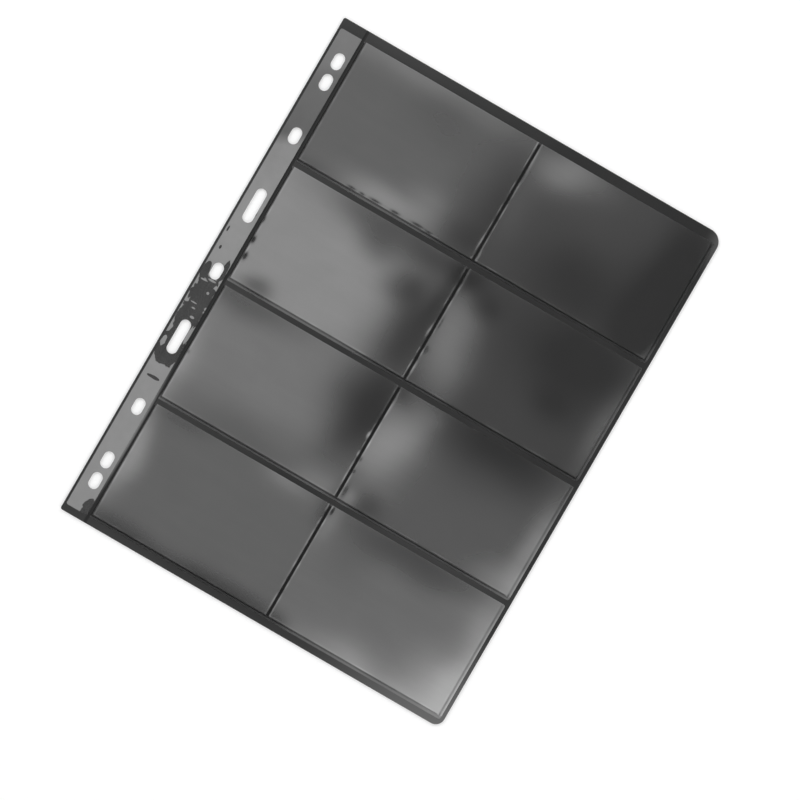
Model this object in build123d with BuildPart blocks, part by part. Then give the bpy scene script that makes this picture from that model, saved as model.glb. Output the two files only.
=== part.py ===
"""A loose-leaf album refill page: eight clear pockets on each face of a black interleaf sheet.

The page lies flat with +Z up, the binding edge at -X and the top edge at +Y. The origin is
the centre of its underside. All sizes are in millimetres. Places on the page are measured
from its binding edge and its top edge, and across() and up() turn them into X and Y.
"""

from build123d import *
import os

# Black base sheet (the interleaf)
page_width = 220.0
page_length = 285.0
base_thickness = 0.4
binding_corner_radius = 1.0
top_outer_radius = 7.0
bottom_outer_radius = 5.0

# Clear film, and how far a loose pocket stands off the base
film_thickness = 0.15
pocket_gap = 0.5
film_corner_radius = 1.0

# Bands where the base sheet is bare
top_band = 5.4
bottom_band = 3.7
outer_band = 2.0
binding_band = 1.3
row_band = 2.6

# Pocket rows, and how far the centre seam lies outward of the middle between its neighbours
rows = 4
row_pitch = 68.8
centre_offset = 0.9

# Welded seams between a pocket film and the base, and the loose flange outside them
seam_width = 0.8
centre_seam_width = 1.3
seam_flange = 0.95

# Binding strip, and the crease beside it where the page turns
binding_width = 14.05
crease_width = 1.7
crease_clearance = 0.5

# Slots for a binder's rings, through the binding strip
slot_width = 5.7
short_slot = 9.0
long_slot = 19.0
slot_offset = 1.05
middle_slots = [(0.0, short_slot), (38.0, long_slot)]
end_slots = [(21.0, short_slot), (33.0, short_slot), (64.0, short_slot)]

# Sizes that follow from those above
pocket_height = pocket_gap + film_thickness
base_bottom = pocket_height
base_top = base_bottom + base_thickness
strip_right = binding_width - crease_width / 2
pocket_left = binding_width + crease_width / 2
pocket_right = page_width - outer_band
lowest_edge = page_length - bottom_band
slot_centre = (binding_band + strip_right) / 2 + slot_offset
seam_right = pocket_right - seam_flange
centre_seam = (pocket_left + seam_right) / 2 + centre_offset

# The two sides of each upright seam, measured from the binding edge
upright_seams = [
    (pocket_left, pocket_left + seam_width),
    (centre_seam - centre_seam_width / 2, centre_seam + centre_seam_width / 2),
    (seam_right - seam_width, seam_right),
]

# Each slot's distance above or below mid-height, with its length
slots = middle_slots + [(page_length / 2 - place, length) for place, length in end_slots]

# Each face of the base: the height of its surface, and the way from it into the open
faces = {"front": (base_top, 1), "back": (base_bottom, -1)}


def across(from_binding_edge):
    """X of a place measured from the binding edge."""
    return from_binding_edge - page_width / 2


def up(from_top_edge):
    """Y of a place measured from the top edge."""
    return page_length / 2 - from_top_edge


def row_bottom(row):
    """The cut edge under a row's bottom seam, measured from the top edge."""
    return lowest_edge - (rows - 1 - row) * row_pitch


def row_seam(row):
    """The upper side of a row's bottom seam, where its pockets end."""
    return row_bottom(row) - seam_flange - seam_width


def row_mouth(row):
    """The open edge that a row's pockets are filled through, measured from the top edge."""
    return top_band if row == 0 else row_bottom(row - 1) + row_band


def area(left, right, top, bottom):
    """A rectangle between two places across the page and two places down it."""
    with Locations((across((left + right) / 2), up((top + bottom) / 2))):
        Rectangle(right - left, bottom - top)


def ring_slots():
    """Cuts the slots for a binder's rings out of a sketch."""
    for distance, length in slots:
        for y in sorted({distance, -distance}):
            with Locations((across(slot_centre), y)):
                SlotOverall(length, slot_width, rotation=90, mode=Mode.SUBTRACT)


os.makedirs("parts", exist_ok=True)

# Binding margin of the base sheet, with square corners and the ring slots
with BuildPart() as base_margin:
    with BuildSketch(Plane.XY.offset(base_bottom)) as margin_outline:
        area(0, binding_width - crease_clearance / 2, 0, page_length)
        fillet(margin_outline.vertices().group_by(Axis.X)[0], binding_corner_radius)
        ring_slots()
    extrude(amount=base_thickness)
base_margin.part.label = "base_margin"
export_step(base_margin.part, "parts/base_margin.step")

# Pocket panel of the base sheet, which turns about the crease
with BuildPart() as base_panel:
    with BuildSketch(Plane.XY.offset(base_bottom)) as panel_outline:
        area(binding_width + crease_clearance / 2, page_width, 0, page_length)
        bottom_corner = panel_outline.vertices().group_by(Axis.X)[-1].sort_by(Axis.Y)[0]
        fillet(bottom_corner, bottom_outer_radius)
        top_corner = panel_outline.vertices().group_by(Axis.X)[-1].sort_by(Axis.Y)[-1]
        fillet(top_corner, top_outer_radius)
    extrude(amount=base_thickness)
base_panel.part.label = "base_panel"
export_step(base_panel.part, "parts/base_panel.step")

for face, (surface, away) in faces.items():
    # Clear strip fused over the binding margin
    with BuildPart() as binding_strip:
        with BuildSketch(Plane.XY.offset(surface)) as strip_outline:
            area(binding_band, strip_right, top_band, lowest_edge)
            fillet(strip_outline.vertices().group_by(Axis.X)[0], film_corner_radius)
            ring_slots()
        extrude(amount=away * film_thickness)
    binding_strip.part.label = f"binding_strip_{face}"
    export_step(binding_strip.part, f"parts/binding_strip_{face}.step")

    # Upright seams of every row: binding side, centre and outer side
    with BuildPart() as side_seams:
        with BuildSketch(Plane.XY.offset(surface)):
            for row in range(rows):
                for left, right in upright_seams:
                    area(left, right, row_mouth(row), row_seam(row))
        extrude(amount=away * pocket_gap)
    side_seams.part.label = f"side_seams_{face}"
    export_step(side_seams.part, f"parts/side_seams_{face}.step")

    # Bottom seams, which close the pockets of each row
    with BuildPart() as bottom_seams:
        with BuildSketch(Plane.XY.offset(surface)):
            for row in range(rows):
                area(pocket_left, seam_right, row_seam(row), row_seam(row) + seam_width)
        extrude(amount=away * pocket_gap)
    bottom_seams.part.label = f"bottom_seams_{face}"
    export_step(bottom_seams.part, f"parts/bottom_seams_{face}.step")

    # Pocket films: one clear strip a row, across both of its pockets
    for row in range(rows):
        with BuildPart() as pocket_film:
            with BuildSketch(Plane.XY.offset(surface + away * pocket_gap)) as film_outline:
                area(pocket_left, pocket_right, row_mouth(row), row_bottom(row))
                fillet(film_outline.vertices().group_by(Axis.X)[-1], film_corner_radius)
            extrude(amount=away * film_thickness)
        name = f"pocket_film_{face}_{row + 1}"
        pocket_film.part.label = name
        export_step(pocket_film.part, f"parts/{name}.step")
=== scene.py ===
"""Loose-leaf album refill page: clear pocket films welded over both faces of a black sheet.

Places on the page are given in millimetres from its binding edge and from its top edge, as a
maker's drawing gives them, and page_x() and page_y() turn them into metres.
"""

import math

import bmesh
import bpy
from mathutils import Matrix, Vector, noise


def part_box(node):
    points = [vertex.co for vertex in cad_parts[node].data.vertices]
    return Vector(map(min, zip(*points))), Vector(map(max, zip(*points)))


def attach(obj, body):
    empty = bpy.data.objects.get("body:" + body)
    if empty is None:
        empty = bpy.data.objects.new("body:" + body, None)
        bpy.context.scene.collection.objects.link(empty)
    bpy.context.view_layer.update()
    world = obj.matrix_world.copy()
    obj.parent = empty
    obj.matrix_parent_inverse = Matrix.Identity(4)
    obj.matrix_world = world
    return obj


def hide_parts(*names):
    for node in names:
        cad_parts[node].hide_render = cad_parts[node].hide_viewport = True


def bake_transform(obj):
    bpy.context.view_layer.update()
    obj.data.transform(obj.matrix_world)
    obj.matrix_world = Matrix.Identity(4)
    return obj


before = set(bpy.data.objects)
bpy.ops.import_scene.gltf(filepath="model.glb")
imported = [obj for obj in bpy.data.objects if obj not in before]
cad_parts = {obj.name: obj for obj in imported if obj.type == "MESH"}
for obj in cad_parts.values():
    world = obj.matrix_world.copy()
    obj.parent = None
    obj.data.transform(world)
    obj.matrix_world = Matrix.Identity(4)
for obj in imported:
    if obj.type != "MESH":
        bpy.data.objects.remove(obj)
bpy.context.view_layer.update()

MM = 0.001
ROWS = 4
FACES = ("front", "back")

# The sheet, as the frame has it, and its length in millimetres
sheet_low, sheet_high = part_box("base_margin")[0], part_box("base_panel")[1]
sheet_thickness = sheet_high.z - sheet_low.z
sheet_length = 285
binding_corner = 1.0 * MM
top_outer_corner = 7.0 * MM
bottom_outer_corner = 5.0 * MM

# The crease between the binding strip and the pockets, and how many steps it bends in
crease_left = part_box("binding_strip_front")[1].x
crease_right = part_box("pocket_film_front_1")[0].x
crease = (crease_left + crease_right) / 2
half_crease = (crease_right - crease_left) / 2
crease_depth = 0.1 * MM
crease_steps = 12

# Slots for a binder's rings: how far above or below mid-height, and how long
slot_width = 5.7 * MM
slot_offset = 1.05 * MM
slots = [(0.0, 9.0), (38.0, 19.0), (78.5, 9.0), (109.5, 9.0), (121.5, 9.0)]
strip_low, strip_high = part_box("binding_strip_front")
slot_centre = (strip_low.x + strip_high.x) / 2 + slot_offset

# Welded seams, and the loose flange of film outside them
weld_width = 0.8 * MM
centre_weld_width = 1.3 * MM
centre_weld_offset = 0.9 * MM
flange = 0.95 * MM
film_corner = 1.0 * MM
film_thickness = 0.15 * MM
seams_low, seams_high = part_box("side_seams_front")
centre_weld = (seams_low.x + seams_high.x) / 2 + centre_weld_offset
pocket_gap = seams_high.z - seams_low.z

# Each upright weld: its centre line and its width
upright_welds = [
    (seams_low.x + weld_width / 2, weld_width),
    (centre_weld, centre_weld_width),
    (seams_high.x - weld_width / 2, weld_width),
]
outer_weld = upright_welds[2][0]

# The fused line inside each upright weld: its own width, and how far it lies off the weld's centre
bead_widths = [0.5 * MM, 1.3 * MM, 0.8 * MM]
bead_shifts = [-0.15 * MM, 0.05 * MM, 0.0]

# Fused lines: how far they stand above the film, how far the upright ones run down into the
# bottom one and stop short of the mouth, how far the bottom one keeps inside its seam below and
# above, how far they wander, and how often they are cut so that they can
bead_stand = 0.03 * MM
bead_overlap = 0.15 * MM
bead_short_of_mouth = 1.0 * MM
bead_inset_below = 0.05 * MM
bead_inset_above = 0.2 * MM
bead_wander = 0.10 * MM
bead_step = 2.2 * MM

# How a pocket film lies, as shares of the pocket gap: at the least, where its tone is middling,
# for each unit of tone above that, and the height of its waves
least_lift = 0.06
middling_tone = 0.3
middling_lift = 0.34
lift_for_tone = 0.9
lift_of_waves = 0.22

# Cuts across a pocket film: how far apart on X and on Y, where they crowd in beside a weld (in
# millimetres from its side) and across a dent (as shares of its half width or half height), how
# near the film's edges they may come, and how near each other
cut_spacing_x = 2.0 * MM
cut_spacing_y = 1.8 * MM
weld_cuts = [0, 0.3, 0.6, 1.0, 1.5, 2.2, 3.2]
dent_cuts = (-1.4, -0.9, -0.45, 0, 0.45, 0.9, 1.4)
mouth_cuts_below = 0.8 * MM
least_cut_from_edge = 0.05 * MM
least_cut_apart = 0.12 * MM

# Clear film: how much it covers of what lies behind it, the roughness of its face from the
# smoothest place to the roughest, and the strength of its gloss
film_cover = 0.70
film_roughness = (0.275, 0.34)
gloss_strength = 0.6

# How a tone, which is spaced as the eye sees it, becomes a brightness: its power, the gain that
# makes up for what the film lets through, the share that the gloss adds, and the least allowed
tone_power = 2.25
tone_gain = 1.42
gloss_share = 0.02
least_brightness = 0.002

# The same for a weld, which lets nothing through
weld_gain = 0.69
weld_gloss_share = 0.010

# How light a weld looks: the outer one as a share of the film beside it, the other upright ones,
# and the bottom one as a share of the film above it, with more where that film is lighter, so that
# the film's painted reflections carry onto the outer and bottom welds
outer_weld_share = 0.97
upright_weld_look = 0.14
bottom_weld_share = 0.52
light_film = 0.42
light_film_share = 0.9

# How light the film looks over each pocket, from 0 (black) to 1 (white), where it lies evenly:
# partly its own haze and partly a painted reflection of the room
even_tone = {
    (1, "binding"): 0.37,
    (1, "outer"): 0.27,
    (2, "binding"): 0.52,
    (2, "outer"): 0.25,
    (3, "binding"): 0.44,
    (3, "outer"): 0.33,
    (4, "binding"): 0.37,
    (4, "outer"): 0.40,
}

# Soft patches of film tone, lighter where the film stands off the sheet and darker where it clings
# to it, mixed with painted reflections of the room and a painted highlight towards the outer bottom
# corner: from the binding edge, from the top edge, half width, half height, change of tone
film_cling_and_painted_reflections = {
    (1, "binding"): [
        (40, 6, 64, 8, 0.07),
        (72, 20, 25, 14, -0.03),
        (118, 50, 20, 42, -0.14),
        (61, 70, 26, 7, 0.14),
        (82, 60, 12, 8, 0.06),
        (104, 68, 10, 10, -0.05),
        (20, 72, 18, 5, -0.04),
    ],
    (1, "outer"): [
        (138, 10, 20, 12, 0.18),
        (122, 34, 10, 24, 0.04),
        (168, 60, 30, 22, -0.07),
        (209, 38, 17, 42, -0.12),
        (204, 67, 13, 11, -0.05),
        (216, 71, 4, 8, 0.10),
    ],
    (2, "binding"): [
        (78, 79, 44, 12, -0.20),
        (116, 80, 8, 8, -0.08),
        (110, 123, 20, 44, -0.29),
        (92, 103, 10, 10, -0.12),
        (115, 92, 6, 22, -0.08),
        (72, 91, 10, 8, -0.06),
        (30, 140, 9, 5, -0.15),
    ],
    (2, "outer"): [
        (125, 104, 13, 17, 0.16),
        (131, 128, 13, 17, 0.15),
        (121, 82, 10, 7, -0.08),
        (188, 90, 30, 22, -0.08),
        (136, 90, 8, 8, -0.06),
        (186, 116, 14, 9, -0.04),
        (217, 112, 8, 30, 0.10),
    ],
    (3, "binding"): [
        (15, 198, 7, 28, 0.12),
        (24, 147, 34, 9, -0.10),
        (60, 207, 46, 13, -0.08),
        (110, 161, 19, 36, -0.25),
        (104, 209, 10, 8, 0.06),
        (115, 210, 4, 6, -0.06),
    ],
    (3, "outer"): [
        (124, 177, 17, 21, 0.19),
        (136, 152, 8, 8, 0.07),
        (119, 149, 8, 6, -0.08),
        (120, 210, 6, 6, 0.11),
        (134, 207, 8, 8, -0.06),
        (132, 162, 8, 8, 0.05),
        (175, 147, 38, 22, -0.15),
        (218, 186, 9, 30, 0.15),
        (212, 208, 16, 10, 0.12),
    ],
    (4, "binding"): [
        (15, 244, 8, 29, 0.16),
        (90, 217, 13, 7, 0.08),
        (116, 220, 7, 10, -0.10),
        (66, 282, 76, 8, -0.12),
        (32, 217, 18, 5, -0.04),
    ],
    (4, "outer"): [
        (165, 216, 38, 11, -0.12),
        (136, 232, 14, 16, -0.03),
        (119, 222, 5, 14, 0.05),
        (190, 286, 56, 14, 0.19),
        (206, 266, 18, 15, 0.12),
        (219, 250, 13, 40, 0.17),
        (118, 279, 9, 6, -0.12),
    ],
}

# Beside the welds: small dents where the heat drew the film in, which darken it, and painted glints,
# which lighten it: as the patches above
weld_dents_and_glints = {
    1: [
        (115.3, 64, 0.6, 5.0, 0.14),
        (118.6, 70, 0.5, 3.0, 0.12),
        (118.6, 20, 0.5, 9.0, 0.07),
        (46, 72.3, 2.4, 0.7, -0.22),
        (52, 72.3, 1.6, 0.6, -0.22),
        (59.5, 72.2, 3.2, 0.8, -0.25),
        (71, 72.2, 2.6, 0.8, -0.25),
        (84, 72.0, 3.4, 0.7, -0.22),
        (90.5, 72.4, 2.0, 0.6, -0.2),
    ],
    2: [
        (16.0, 108, 0.6, 2.0, -0.25),
        (16.3, 119.5, 1.0, 1.9, -0.42),
        (16.7, 128.7, 1.1, 2.0, -0.42),
        (118.8, 109, 0.7, 4.0, -0.10),
        (118.9, 124, 1.4, 2.0, -0.12),
        (115.4, 115.5, 0.7, 3.0, 0.18),
        (118.5, 86, 0.5, 7.0, 0.10),
        (118.5, 135, 0.5, 5.0, 0.10),
    ],
    3: [
        (115.5, 175.5, 0.9, 2.0, 0.32),
        (115.7, 186, 0.6, 1.5, 0.20),
        (115.8, 197, 0.6, 6.0, 0.12),
        (118.6, 155, 0.5, 6.0, 0.08),
        (118.2, 188, 0.7, 1.4, -0.16),
        (118.3, 195, 0.7, 1.2, -0.14),
        (119.5, 206, 1.2, 3.2, -0.14),
        (16.4, 184.5, 0.6, 1.0, -0.12),
    ],
    4: [(119.0, 217.6, 0.7, 2.2, -0.28)],
}

# Painted sheen on the bare sheet, strongest towards the outer bottom corner: patches as for the film,
# with the change of brightness
painted_sheet_sheen = [
    ((230, 292, 110, 70), 0.11),
    ((60, 287, 150, 12), 0.010),
    ((221, 2, 10, 22), 0.06),
    ((30, 0, 130, 10), 0.012),
    ((0, 150, 110, 260), 0.012),
    ((180, 214, 80, 20), 0.014),
]

# A painted highlight where the crease catches the light, as the patches of the sheet
crease_highlight_patch = ((13.4, 232, 1.3, 50), 0.16)

# Where the binding film has pulled down onto the sheet, as if wetted, and where air stays inside
# that: from the binding edge, from the top edge, half width, half height
strip_contacts = [
    (11.6, 140.5, 1.5, 6.0),
    (3.2, 145.5, 2.0, 5.5),
    (8.0, 157.0, 6.2, 11.0),
    (7.4, 168.0, 6.0, 14.0),
    (7.8, 185.5, 6.3, 10.2),
    (5.0, 190.6, 3.3, 6.8),
    (10.2, 189.0, 3.3, 6.4),
    (7.0, 204.5, 3.0, 0.85),
    (3.8, 131.0, 0.6, 1.1),
    (13.8, 284.0, 5.6, 12.0),
    (11.0, 108.0, 0.5, 1.4),
    (2.6, 121.0, 0.5, 1.8),
]
strip_air = [
    (10.1, 154.4, 0.7, 0.7),
    (2.8, 162.2, 0.9, 1.0),
    (6.2, 161.8, 2.0, 0.35),
    (7.5, 164.4, 1.3, 0.5),
    (9.1, 168.8, 1.3, 0.7),
    (13.0, 162.0, 0.5, 0.8),
    (12.2, 178.0, 0.9, 5.0),
    (2.6, 185.8, 1.1, 2.7),
    (5.2, 149.3, 2.2, 0.45),
    (8.7, 147.9, 2.2, 0.55),
]

# Broad brightness along the binding film: where each starts, in millimetres from the top edge
strip_tones = [
    (0, 0.175),
    (22, 0.165),
    (30, 0.13),
    (63, 0.11),
    (70, 0.225),
    (105, 0.25),
    (225, 0.245),
    (285, 0.24),
]


def page_x(from_binding_edge):
    """X of a place in millimetres from the binding edge."""
    return sheet_low.x + from_binding_edge * MM


def page_y(from_top_edge):
    """Y of a place in millimetres from the top edge."""
    return sheet_high.y - from_top_edge * MM


def bell(x, y, centre_x, centre_y, half_width, half_height):
    """1 at the centre of a soft patch, falling to nothing past its edge."""
    reach = ((x - centre_x) / half_width) ** 2 + ((y - centre_y) / half_height) ** 2
    return math.exp(-(reach ** 1.15))


# ---------------------------------------------------------------- flat outlines


def add_rectangle(bm, left, right, bottom, top):
    """A flat rectangle in the XY plane. Returns its lower two corners, left first, then its upper."""
    made = bmesh.ops.create_grid(bm, x_segments=1, y_segments=1, size=0.5)["verts"]
    size = Vector((right - left, top - bottom, 1))
    middle = Vector(((left + right) / 2, (bottom + top) / 2, 0))
    bmesh.ops.scale(bm, vec=size, verts=made)
    bmesh.ops.translate(bm, vec=middle, verts=made)
    return sorted(made, key=lambda corner: (corner.co.y, corner.co.x))


def round_corners(bm, corners, radius, segments):
    """Rounds flat corners to an arc."""
    bmesh.ops.bevel(bm, geom=corners, offset=radius, offset_type="OFFSET", segments=segments,
                    profile=0.5, affect="VERTICES", material=-1)


def add_ring_slots(bm):
    """Outlines of the slots, each a rectangle whose ends are rounded all but right off."""
    for distance, length in slots:
        for way in (1, -1) if distance else (1,):
            y = (sheet_low.y + sheet_high.y) / 2 + way * distance * MM
            half = length * MM / 2
            corners = add_rectangle(bm, slot_centre - slot_width / 2, slot_centre + slot_width / 2,
                                    y - half, y + half)
            round_corners(bm, corners, slot_width / 2 * 0.999, 10)


def fill_between_outlines(bm):
    """Fills the outer outline and leaves the slots open."""
    bmesh.ops.remove_doubles(bm, verts=bm.verts[:], dist=0.01 * MM)
    bmesh.ops.delete(bm, geom=bm.faces[:], context="FACES_ONLY")
    bmesh.ops.triangle_fill(bm, edges=bm.edges[:], use_beauty=True, normal=(0, 0, 1))


def cut(bm, parts, direction, place):
    """Cuts parts of a mesh square to a direction, at a place along it."""
    bmesh.ops.bisect_plane(bm, geom=parts, dist=1e-7, plane_co=direction * place, plane_no=direction)


def score(bm, places, axis):
    """Cuts the whole mesh at these places on an axis, so that it can bend there."""
    direction = Vector((0, 0, 0))
    direction[axis] = 1
    for place in places:
        cut(bm, bm.verts[:] + bm.edges[:] + bm.faces[:], direction, place)


def thicken(bm, thickness):
    """Gives a flat or wavy sheet its thickness, straight down, or up where that is negative."""
    bmesh.ops.recalc_face_normals(bm, faces=bm.faces[:])
    moved = bmesh.ops.extrude_face_region(bm, geom=bm.faces[:])["geom"]
    moved = [part for part in moved if isinstance(part, bmesh.types.BMVert)]
    bmesh.ops.translate(bm, vec=(0, 0, -thickness), verts=moved)
    bmesh.ops.recalc_face_normals(bm, faces=bm.faces[:])


def finish_piece(name, bm, material):
    """Makes a mesh object, smooth but for edges sharper than 30 degrees."""
    mesh = bpy.data.meshes.new(name)
    bm.to_mesh(mesh)
    bm.free()
    mesh.shade_smooth()
    mesh.set_sharp_from_angle(angle=math.radians(30))
    mesh.materials.append(material)
    piece = bpy.data.objects.new(name, mesh)
    bpy.context.scene.collection.objects.link(piece)
    return piece


def ease_edges(piece, width):
    """Takes the sharpness off every edge sharper than 40 degrees."""
    bevel = piece.modifiers.new("eased_edge", "BEVEL")
    bevel.width = width
    bevel.segments = 2
    bevel.limit_method = "ANGLE"
    bevel.angle_limit = math.radians(40)


# ---------------------------------------------------------------- shader nodes


def new_material(name):
    """A material with one Principled shader. Returns the material and the shader."""
    material = bpy.data.materials.new(name)
    material.use_nodes = True
    return material, material.node_tree.nodes["Principled BSDF"]


def add_node(material, kind):
    """A new node of this kind in a material."""
    return material.node_tree.nodes.new(kind)


def join(material, output, socket):
    """Feeds an output into a socket."""
    material.node_tree.links.new(output, socket)


def math_node(material, operation, first, second=None, clamp=False):
    """A Math node on one or two inputs, each a socket or a number. Returns its output."""
    node = add_node(material, "ShaderNodeMath")
    node.operation = operation
    node.use_clamp = clamp
    for socket, value in zip(node.inputs, (first, second)):
        if isinstance(value, (int, float)):
            socket.default_value = value
        elif value is not None:
            join(material, value, socket)
    return node.outputs[0]


def object_place(material):
    """Object coordinates, in metres."""
    return add_node(material, "ShaderNodeTexCoord").outputs["Object"]


def split_place(material, place):
    """A place's three coordinates, as the outputs of one node."""
    node = add_node(material, "ShaderNodeSeparateXYZ")
    join(material, place, node.inputs[0])
    return node.outputs


def attribute_value(material, name):
    """A number that the mesh holds for each of its vertices."""
    node = add_node(material, "ShaderNodeAttribute")
    node.attribute_name = name
    return node.outputs["Fac"]


def noise_value(material, place, waves, detail, stretch=(1, 1, 1), distortion=0.0):
    """Noise with this many waves a metre, times stretch along each axis. Returns its value."""
    mapping = add_node(material, "ShaderNodeMapping")
    mapping.inputs["Scale"].default_value = stretch
    join(material, place, mapping.inputs["Vector"])
    node = add_node(material, "ShaderNodeTexNoise")
    node.inputs["Scale"].default_value = waves
    node.inputs["Detail"].default_value = detail
    node.inputs["Distortion"].default_value = distortion
    join(material, mapping.outputs[0], node.inputs["Vector"])
    return node.outputs["Fac"]


def spread(material, value, low, high):
    """Maps a value from 0-1 onto low-high."""
    return math_node(material, "ADD", math_node(material, "MULTIPLY", value, high - low), low)


def sharp_step(material, value, edge, softness):
    """0 below the edge and 1 above it, with a slope this wide between them."""
    lifted = math_node(material, "SUBTRACT", value, edge - softness / 2)
    return math_node(material, "DIVIDE", lifted, softness, clamp=True)


def grey(material, value):
    """A neutral colour of this brightness."""
    node = add_node(material, "ShaderNodeCombineColor")
    for socket in node.inputs:
        join(material, value, socket)
    return node.outputs[0]


def patch_distance(material, place, centre_x, centre_y, half_width, half_height):
    """How far a point is from an ellipse's centre, where 1 is its edge."""
    mapping = add_node(material, "ShaderNodeMapping")
    mapping.vector_type = "TEXTURE"
    mapping.inputs["Location"].default_value = (page_x(centre_x), page_y(centre_y), 0)
    mapping.inputs["Scale"].default_value = (half_width * MM, half_height * MM, 1)
    join(material, place, mapping.inputs["Vector"])
    length = add_node(material, "ShaderNodeVectorMath")
    length.operation = "LENGTH"
    join(material, mapping.outputs[0], length.inputs[0])
    return length.outputs["Value"]


def nearest_patch(material, place, patches):
    """The least distance to any of the patches."""
    found = [patch_distance(material, place, *patch) for patch in patches]
    least = found[0]
    for other in found[1:]:
        least = math_node(material, "MINIMUM", least, other)
    return least


def soft_patch(material, place, patch, change):
    """This change at the centre of an ellipse, easing to 0 at its edge."""
    ease = add_node(material, "ShaderNodeMapRange")
    ease.interpolation_type = "SMOOTHSTEP"
    ease.inputs["To Min"].default_value = 1
    ease.inputs["To Max"].default_value = 0
    join(material, patch_distance(material, place, *patch), ease.inputs["Value"])
    return math_node(material, "MULTIPLY", ease.outputs["Result"], change)


def add_bump(material, shader, height, depth):
    """Bump of this depth in metres. Returns the bumped normal."""
    bump = add_node(material, "ShaderNodeBump")
    bump.inputs["Distance"].default_value = depth
    bump.inputs["Strength"].default_value = 1.0
    join(material, height, bump.inputs["Height"])
    join(material, bump.outputs[0], shader.inputs["Normal"])
    return bump.outputs[0]


# ---------------------------------------------------------------- black sheet and welds


def crease_shade(material, place):
    """How much of its brightness the sheet keeps: less in the pressed line of the crease, as painted
    shade.
    """
    from_crease = math_node(material, "SUBTRACT", split_place(material, place)["X"], crease)
    away = math_node(material, "ABSOLUTE", from_crease)
    share = sharp_step(material, away, half_crease, softness=0.3 * MM)
    return spread(material, share, 0.25, 1.0)


def black_interleaf():
    """Black plastic sheet with a satin face, a fine grain and faint rubbed streaks, with painted sheen,
    painted shade in the crease and a painted highlight along it.
    """
    material, shader = new_material("black_interleaf")
    place = object_place(material)
    grain = noise_value(material, place, waves=1600, detail=3)
    cloud = noise_value(material, place, waves=28, detail=3)
    rub = noise_value(material, place, waves=90, detail=4, stretch=(0.25, 1, 1))
    tone = math_node(material, "ADD", spread(material, grain, 0.009, 0.013),
                     spread(material, cloud, -0.006, 0.008))
    # Painted sheen patches on the bare sheet
    for patch, change in painted_sheet_sheen:
        tone = math_node(material, "ADD", tone, soft_patch(material, place, patch, change))
    # Painted shade in the crease's pressed line, and a painted highlight along it
    tone_with_painted_light = math_node(material, "MULTIPLY", tone, crease_shade(material, place))
    painted_crease_highlight = soft_patch(material, place, *crease_highlight_patch)
    join(material, grey(material, math_node(material, "ADD", tone_with_painted_light, painted_crease_highlight)), shader.inputs["Base Color"])
    join(material, spread(material, rub, 0.36, 0.58), shader.inputs["Roughness"])
    shader.inputs["IOR"].default_value = 1.52
    shader.inputs["Specular IOR Level"].default_value = 0.3
    add_bump(material, shader, grain, depth=0.0008 * MM)
    return material


def fused_weld():
    """Film melted into the sheet: smooth and mostly dark, with a faint ribbing from the heated bar."""
    material, shader = new_material("fused_weld")
    place = object_place(material)
    ribs = noise_value(material, place, waves=500, detail=3)
    melt = noise_value(material, place, waves=110, detail=3)
    tone = attribute_value(material, "weld_tone")
    tone_with_painted_light = math_node(material, "MULTIPLY", tone, spread(material, melt, 0.6, 1.4))
    join(material, grey(material, tone_with_painted_light), shader.inputs["Base Color"])
    join(material, spread(material, ribs, 0.32, 0.52), shader.inputs["Roughness"])
    shader.inputs["IOR"].default_value = 1.5
    shader.inputs["Specular IOR Level"].default_value = 0.2
    add_bump(material, shader, ribs, depth=0.01 * MM)
    return material


# ---------------------------------------------------------------- clear films


def outward_face(material):
    """1 where a film is seen from outside, and 0 on the far side of its thickness."""
    geometry = add_node(material, "ShaderNodeNewGeometry")
    return math_node(material, "SUBTRACT", 1.0, geometry.outputs["Backfacing"])


def add_haze(material, shader, haze, cloud):
    """Gives a film its hazy colour, its cover and a roughness that varies. Returns the roughness."""
    join(material, grey(material, haze), shader.inputs["Base Color"])
    roughness = spread(material, cloud, *film_roughness)
    join(material, roughness, shader.inputs["Roughness"])
    shader.inputs["IOR"].default_value = 1.53
    shader.inputs["Specular IOR Level"].default_value = 0.2
    cover = math_node(material, "MULTIPLY", outward_face(material), film_cover)
    join(material, cover, shader.inputs["Alpha"])
    return roughness


def add_gloss(material, shader, roughness, normal):
    """Lays a gloss over a see-through shader, stronger at a glancing view as on any clear film."""
    fresnel = add_node(material, "ShaderNodeFresnel")
    fresnel.inputs["IOR"].default_value = 1.5
    gloss = add_node(material, "ShaderNodeBsdfAnisotropic")
    join(material, roughness, gloss.inputs["Roughness"])
    mix = add_node(material, "ShaderNodeMixShader")
    share = math_node(material, "MULTIPLY", outward_face(material), gloss_strength)
    strength = math_node(material, "MULTIPLY", fresnel.outputs[0], share)
    join(material, strength, mix.inputs["Fac"])
    join(material, shader.outputs[0], mix.inputs[1])
    join(material, gloss.outputs[0], mix.inputs[2])
    join(material, normal, fresnel.inputs["Normal"])
    join(material, normal, gloss.inputs["Normal"])
    join(material, mix.outputs[0], material.node_tree.nodes["Material Output"].inputs["Surface"])


def clear_film():
    """Clear glossy pocket film: its haze follows how it lies and carries painted reflections and glints,
    with drawn streaks and faint clouds.
    """
    material, shader = new_material("clear_film")
    place = object_place(material)
    tone = attribute_value(material, "film_tone")
    cloud = noise_value(material, place, waves=45, detail=4, distortion=0.4)
    streak = noise_value(material, place, waves=240, detail=3, stretch=(0.12, 1, 1))
    mottle = math_node(material, "ADD", spread(material, cloud, 0.93, 1.07),
                       spread(material, streak, -0.05, 0.05))
    haze = math_node(material, "MULTIPLY", tone, mottle)
    roughness = add_haze(material, shader, haze, cloud)
    ripple = noise_value(material, place, waves=38, detail=1, stretch=(1, 0.6, 1), distortion=0.5)
    normal = add_bump(material, shader, ripple, depth=0.35 * MM)
    add_gloss(material, shader, roughness, normal)
    return material


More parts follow.
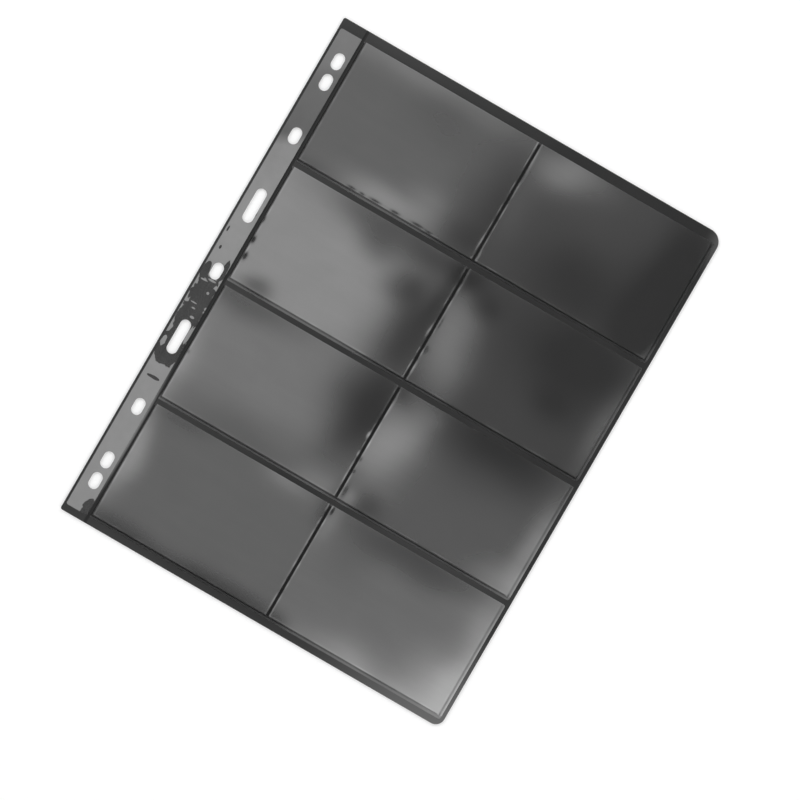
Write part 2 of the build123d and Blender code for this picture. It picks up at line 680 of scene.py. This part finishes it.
def strip_lift(material, place):
    """1 where the binding film stands over air, and 0 where it clings to the sheet."""
    wander = noise_value(material, place, waves=220, detail=1, distortion=0.6)
    wobble = spread(material, wander, -0.45, 0.45)
    contact = math_node(material, "ADD", nearest_patch(material, place, strip_contacts), wobble)
    air = math_node(material, "ADD", nearest_patch(material, place, strip_air), wobble)
    outside_contact = sharp_step(material, contact, 1.0, softness=0.06)
    outside_air = sharp_step(material, air, 1.0, softness=0.1)
    inside_air = math_node(material, "SUBTRACT", 1.0, outside_air)
    return math_node(material, "MAXIMUM", outside_contact, inside_air)


def strip_light(material, place):
    """The brightness of strip_tones down the binding film, in bands that lie a little aslant."""
    axes = split_place(material, place)
    down = math_node(material, "SUBTRACT", page_y(0), axes["Y"])
    across = math_node(material, "SUBTRACT", axes["X"], page_x(7))
    slant = math_node(material, "MULTIPLY", across, 0.5)
    share = math_node(material, "DIVIDE", math_node(material, "ADD", down, slant), sheet_length * MM)
    ramp = add_node(material, "ShaderNodeValToRGB")
    ramp.color_ramp.elements.remove(ramp.color_ramp.elements[1])
    for from_top, tone in strip_tones:
        element = ramp.color_ramp.elements.new(min(from_top / sheet_length, 1.0))
        element.color = (tone, tone, tone, 1)
    ramp.color_ramp.elements.remove(ramp.color_ramp.elements[0])
    join(material, share, ramp.inputs["Fac"])
    return ramp.outputs["Color"]


def binding_film():
    """Clear film fused to the binding margin, light over trapped air and dark where it clings."""
    material, shader = new_material("binding_film")
    place = object_place(material)
    lifted = strip_lift(material, place)
    cloud = noise_value(material, place, waves=120, detail=3)
    light = math_node(material, "MULTIPLY", strip_light(material, place),
                      spread(material, cloud, 0.9, 1.1))
    dark = spread(material, cloud, 0.035, 0.060)
    mix = add_node(material, "ShaderNodeMix")
    mix.data_type = "FLOAT"
    join(material, lifted, mix.inputs["Factor"])
    join(material, dark, mix.inputs["A"])
    join(material, light, mix.inputs["B"])
    without_gloss = math_node(material, "SUBTRACT", mix.outputs["Result"], gloss_share)
    haze = math_node(material, "MULTIPLY", without_gloss, tone_gain)
    roughness = add_haze(material, shader, haze, cloud)
    edge_height = math_node(material, "MULTIPLY", lifted, 0.6)
    height = math_node(material, "ADD", edge_height, cloud)
    normal = add_bump(material, shader, height, depth=0.05 * MM)
    add_gloss(material, shader, roughness, normal)
    return material


# ---------------------------------------------------------------- the sheet and the binding films


def press_crease(bm, middle):
    """Sinks both faces of the sheet towards its middle along the crease."""
    for vertex in bm.verts:
        away = abs(vertex.co.x - crease) / half_crease
        if away < 0.95:
            groove = crease_depth * math.cos(away * math.pi / 2)
            vertex.co.z -= math.copysign(groove, vertex.co.z - middle)


def make_interleaf_sheet(material):
    """The black sheet in one piece, with its ring slots and a scored crease that it turns about."""
    bm = bmesh.new()
    lower_left, lower_right, upper_left, upper_right = add_rectangle(
        bm, sheet_low.x, sheet_high.x, sheet_low.y, sheet_high.y)
    round_corners(bm, [lower_left, upper_left], binding_corner, 4)
    round_corners(bm, [lower_right], bottom_outer_corner, 12)
    round_corners(bm, [upper_right], top_outer_corner, 14)
    add_ring_slots(bm)
    fill_between_outlines(bm)
    places = [crease + half_crease * (2 * i / crease_steps - 1) for i in range(crease_steps + 1)]
    score(bm, places, 0)
    bmesh.ops.translate(bm, vec=(0, 0, sheet_high.z), verts=bm.verts[:])
    thicken(bm, sheet_thickness)
    middle = (sheet_low.z + sheet_high.z) / 2
    press_crease(bm, middle)
    sheet = finish_piece("interleaf_sheet", bm, material)
    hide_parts("base_margin", "base_panel")
    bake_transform(sheet)


def make_binding_strip(face, material):
    """Clear film over the binding margin, with the ring slots through it."""
    node = f"binding_strip_{face}"
    low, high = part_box(node)
    bm = bmesh.new()
    lower_left, _, upper_left, _ = add_rectangle(bm, low.x, high.x, low.y, high.y)
    round_corners(bm, [lower_left, upper_left], film_corner, 5)
    add_ring_slots(bm)
    fill_between_outlines(bm)
    bmesh.ops.translate(bm, vec=(0, 0, high.z), verts=bm.verts[:])
    thicken(bm, high.z - low.z)
    strip = finish_piece(f"binding_film_{face}", bm, material)
    ease_edges(strip, 0.03 * MM)
    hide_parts(node)
    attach(strip, "margin")


# ---------------------------------------------------------------- pocket films


def face_way(face):
    """The way out from the sheet on this face, and the height of the sheet's surface there."""
    return (1, sheet_high.z) if face == "front" else (-1, sheet_low.z)


def weld_distance(x, y, bottom_weld):
    """How far a point is from the side of the nearest weld. Nothing inside a weld."""
    beside = min(abs(x - centre) - width / 2 for centre, width in upright_welds)
    above = abs(y - bottom_weld) - weld_width / 2
    return max(0.0, min(beside, above))


def film_tone(row, x, y):
    """How light the film looks at a place, from 0 to 1, painted reflections and glints included.
    Soft patches drift a little, dents and glints don't.
    """
    across, down = (x - sheet_low.x) / MM, (sheet_high.y - y) / MM
    side = "binding" if x < centre_weld else "outer"
    tone = even_tone[row, side]
    drift_x = 4.5 * noise.noise(Vector((across / 26, down / 26, row)))
    drift_y = 4.5 * noise.noise(Vector((across / 26, down / 26, row + 9.5)))
    for *patch, change in film_cling_and_painted_reflections[row, side]:
        tone += change * bell(across + drift_x, down + drift_y, *patch)
    for *dent, change in weld_dents_and_glints[row]:
        tone += change * bell(across, down, *dent)
    return tone


def haze_for(tone):
    """The film's own brightness that shows as this tone, once its gloss has added its share."""
    return tone_gain * max(max(tone, 0) ** tone_power - gloss_share, least_brightness)


def film_lift(row, way, x, y, tone, bottom_weld):
    """The share of the pocket gap under a film: more under a light tone, and least at a weld."""
    if x > outer_weld + weld_width / 2 or y < bottom_weld - weld_width / 2:
        return least_lift
    distance = weld_distance(x, y, bottom_weld) / MM
    held = 1 - math.exp(-((distance / 2.4) ** 1.5))
    wave = noise.noise(Vector((x / MM / 34, y / MM / 21, 3.7 * row + way)))
    lift = middling_lift + lift_for_tone * (tone - middling_tone) + lift_of_waves * wave
    return min(max(lift, least_lift), 1.0) * held


def film_shade(row, x, y, tone, low, high, bottom_weld):
    """The tone that shows: drawn darker beside a weld, with painted glints there and a painted
    highlight along the cut edge.
    """
    if y < bottom_weld:
        return 0.75 * tone
    distance = weld_distance(x, y, bottom_weld) / MM
    near_outer = max(0.0, 1 - abs(x - outer_weld) / MM / 2)
    # Painted glints along the welds, strongest beside the centre weld
    glint_strength = max(0.0, 1 + 2.2 * noise.noise(Vector((x / MM / 7, y / MM / 5, 11.3 * row))))
    if abs(x - centre_weld) < 2 * MM:
        glint_strength *= 2.6
    painted_glint = 0.035 * glint_strength * math.exp(-(((distance - 0.5) / 0.4) ** 2)) * (1 - near_outer)
    # A painted highlight along the film's cut edge
    rim = min(x - low.x, high.x - x, y - low.y, high.y - y) / MM
    painted_edge_highlight = 0.03 * math.exp(-((rim / 0.35) ** 2))
    drawn_in = 0.4 * (1 - min(distance / 0.4, 1)) * (1 - near_outer)
    return tone * (1 - drawn_in) + painted_glint + painted_edge_highlight


def mouth_sag(row, way, x, y, high):
    """How far the open edge of a film hangs back from a straight line."""
    mouth = math.exp(-((high.y - y) / MM / 3) ** 2)
    return 0.12 * MM * mouth * (1 + noise.noise(Vector((x / MM / 40, row * 5.1, way))))


def cuts_near(place, reach):
    """Cuts on both sides of a place, which is this far from its middle to its side."""
    steps = [0] + [reach / MM + step for step in weld_cuts]
    return [place + way * step * MM for step in steps for way in (1, -1)]


def dent_stations(row):
    """Where a film is cut to follow its small dents and painted glints: places on X, and places on Y."""
    across, down = [], []
    for centre_x, centre_y, half_width, half_height, _ in weld_dents_and_glints[row]:
        across += [page_x(centre_x + step * half_width) for step in dent_cuts]
        down += [page_y(centre_y + step * half_height) for step in dent_cuts]
    return across, down


def stations(low, high, spacing, wanted):
    """Places between low and high for the cuts of a film: the wanted ones, and even ones between."""
    count = round((high - low) / spacing)
    even = [low + (high - low) * i / count for i in range(1, count)]
    first, last = low + least_cut_from_edge, high - least_cut_from_edge
    kept = sorted(place for place in wanted if first < place < last)
    for place in even:
        if all(abs(place - other) > spacing * 0.4 for other in kept):
            kept.append(place)
    apart = []
    for place in sorted(kept):
        if not apart or place - apart[-1] > least_cut_apart:
            apart.append(place)
    return apart


def score_film(bm, row, low, high, bottom_weld):
    """Cuts a film into a grid, finer beside its welds, across its dents and painted glints, and at its
    mouth.
    """
    wanted_x, wanted_y = dent_stations(row)
    for centre, width in upright_welds:
        wanted_x += cuts_near(centre, width / 2)
    wanted_y += cuts_near(bottom_weld, weld_width / 2)
    wanted_y += cuts_near(high.y - mouth_cuts_below, 0)
    score(bm, stations(low.x, high.x, cut_spacing_x, wanted_x), 0)
    score(bm, stations(low.y, high.y, cut_spacing_y, wanted_y), 1)


def make_pocket_film(face, row, material):
    """One clear film across both pockets of a row, drawn down at its welds and open at its mouth."""
    node = f"pocket_film_{face}_{row}"
    low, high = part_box(node)
    way, surface = face_way(face)
    bottom_weld = low.y + flange + weld_width / 2
    bm = bmesh.new()
    _, lower_right, _, upper_right = add_rectangle(bm, low.x, high.x, low.y, high.y)
    round_corners(bm, [lower_right, upper_right], film_corner, 4)
    score_film(bm, row, low, high, bottom_weld)
    tones = bm.verts.layers.float.new("film_tone")
    for vertex in bm.verts:
        x, y = vertex.co.x, vertex.co.y
        tone = film_tone(row, x, y)
        lift = film_lift(row, way, x, y, tone, bottom_weld)
        vertex.co.z = surface + way * (film_thickness + pocket_gap * lift)
        # The film's colour takes its tone with the painted reflections, glints and edge highlight
        vertex[tones] = haze_for(film_shade(row, x, y, tone, low, high, bottom_weld))
        vertex.co.y -= mouth_sag(row, way, x, y, high)
    thicken(bm, way * film_thickness)
    film = finish_piece(f"pocket_film_{face}_row_{row}", bm, material)
    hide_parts(node)
    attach(film, "panel")


# ---------------------------------------------------------------- welds


def add_bead(bm, left, right, bottom, top):
    """One fused line, cut across every couple of millimetres so that it can wander."""
    if top - bottom > right - left:
        start, length, direction = bottom, top - bottom, Vector((0, 1, 0))
    else:
        start, length, direction = left, right - left, Vector((1, 0, 0))
    before = set(bm.verts)
    add_rectangle(bm, left, right, bottom, top)
    count = max(2, round(length / bead_step))
    for i in range(1, count):
        made = [vertex for vertex in bm.verts if vertex not in before]
        edges = {edge for vertex in made for edge in vertex.link_edges}
        faces = {face for vertex in made for face in vertex.link_faces}
        cut(bm, made + list(edges) + list(faces), direction, start + length * i / count)


def weld_tone(row, x, y, bottom_weld):
    """How bright a weld's colour is: as light as the film at the outer edge, painted reflections
    included, dark elsewhere.
    """
    beside = film_tone(row, x, y)
    upright = y > bottom_weld + weld_width
    if upright and abs(x - outer_weld) < weld_width:
        look = outer_weld_share * beside
    elif upright:
        look = upright_weld_look
    else:
        look = bottom_weld_share * beside + light_film_share * max(beside - light_film, 0)
    return weld_gain * max(look ** tone_power - weld_gloss_share, least_brightness)


def add_row_beads(bm, tones, face, row):
    """The fused lines of one row of pockets, with their tones."""
    low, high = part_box(f"pocket_film_{face}_{row}")
    seam_bottom = low.y + flange
    seam_top = seam_bottom + weld_width
    before = set(bm.verts)
    for (centre, _), bead, shift in zip(upright_welds, bead_widths, bead_shifts):
        middle = centre + shift
        add_bead(bm, middle - bead / 2, middle + bead / 2,
                 seam_top - bead_overlap, high.y - bead_short_of_mouth)
    add_bead(bm, low.x, outer_weld + weld_width / 2,
             seam_bottom + bead_inset_below, seam_top - bead_inset_above)
    for vertex in bm.verts:
        if vertex not in before:
            vertex[tones] = weld_tone(row, vertex.co.x, vertex.co.y, seam_bottom + weld_width / 2)


def make_welds(face, material):
    """The fused lines that close the pockets of one face, in one piece."""
    way, surface = face_way(face)
    height = film_thickness + bead_stand
    bm = bmesh.new()
    tones = bm.verts.layers.float.new("weld_tone")
    for row in range(1, ROWS + 1):
        add_row_beads(bm, tones, face, row)
    bmesh.ops.translate(bm, vec=(0, 0, surface + way * height), verts=bm.verts[:])
    thicken(bm, way * height)
    for vertex in bm.verts:
        x, y = vertex.co.x / MM, vertex.co.y / MM
        vertex.co.x += bead_wander * noise.noise(Vector((x * 0.2, y * 0.45, way)))
        vertex.co.y += bead_wander * noise.noise(Vector((x * 0.45, y * 0.2, way + 7)))
    welds = finish_piece(f"pocket_welds_{face}", bm, material)
    ease_edges(welds, 0.06 * MM)
    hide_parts(f"side_seams_{face}", f"bottom_seams_{face}")
    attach(welds, "panel")


# ---------------------------------------------------------------- floor, lights and camera


def make_floor():
    """A plain pale floor just under the page."""
    bm = bmesh.new()
    bmesh.ops.create_grid(bm, x_segments=1, y_segments=1, size=6)
    bmesh.ops.translate(bm, vec=(0, 0, -0.05 * MM), verts=bm.verts[:])
    material, shader = new_material("pale_floor")
    shader.inputs["Base Color"].default_value = (0.7, 0.7, 0.7, 1)
    shader.inputs["Emission Color"].default_value = (1, 1, 1, 1)
    shader.inputs["Emission Strength"].default_value = 0.28
    shader.inputs["Roughness"].default_value = 0.9
    shader.inputs["Specular IOR Level"].default_value = 0.1
    floor = finish_piece("floor", bm, material)


def add_softbox(name, place, size, power):
    """A large square area lamp aimed at the page."""
    lamp = bpy.data.lights.new(name, "AREA")
    lamp.shape = "SQUARE"
    lamp.size = size
    lamp.energy = power
    softbox = bpy.data.objects.new(name, lamp)
    softbox.location = place
    softbox.rotation_euler = (-Vector(place)).to_track_quat("-Z", "Y").to_euler()
    bpy.context.scene.collection.objects.link(softbox)


def make_room():
    """A pale room, dimmer overhead than at the horizon."""
    world = bpy.data.worlds.new("studio")
    bpy.context.scene.world = world
    world.use_nodes = True
    nodes, links = world.node_tree.nodes, world.node_tree.links
    direction = nodes.new("ShaderNodeTexCoord")
    split = nodes.new("ShaderNodeSeparateXYZ")
    links.new(direction.outputs["Generated"], split.inputs[0])
    ramp = nodes.new("ShaderNodeValToRGB")
    for element, (height, light) in zip(
            [*ramp.color_ramp.elements, ramp.color_ramp.elements.new(0.5)],
            [(0.05, 1.0), (0.66, 0.75), (0.86, 0.12)]):
        element.position = height
        element.color = (light, light, light, 1)
    links.new(split.outputs["Z"], ramp.inputs["Fac"])
    links.new(ramp.outputs["Color"], nodes["Background"].inputs["Color"])
    nodes["Background"].inputs["Strength"].default_value = 1.1


def make_studio():
    """The room and its three softboxes."""
    make_room()
    add_softbox("softbox_left", (-1.5, 0.5, 1.5), size=1.2, power=18)
    add_softbox("softbox_right", (1.4, -0.9, 1.5), size=1.2, power=16)
    add_softbox("softbox_back", (0.2, 1.7, 1.4), size=1.0, power=10)


def make_camera():
    """A camera straight above the page, turned so that the page leans 30 degrees clockwise."""
    height = 1.8
    field = 401.7 * MM
    sensor = 36
    camera_data = bpy.data.cameras.new("camera")
    camera_data.sensor_width = sensor
    camera_data.lens = sensor * height / field
    camera = bpy.data.objects.new("camera", camera_data)
    camera.location = (10.4 * MM, -9.9 * MM, height + sheet_high.z)
    camera.rotation_euler = (0, 0, math.radians(30.06))
    bpy.context.scene.collection.objects.link(camera)
    bpy.context.scene.camera = camera


sheet_material = black_interleaf()
film_material = clear_film()
strip_material = binding_film()
weld_material = fused_weld()

make_interleaf_sheet(sheet_material)
for face in FACES:
    make_binding_strip(face, strip_material)
    make_welds(face, weld_material)
    for row in range(1, ROWS + 1):
        make_pocket_film(face, row, film_material)

make_floor()
make_studio()
make_camera()
bpy.context.scene.view_settings.view_transform = "Standard"
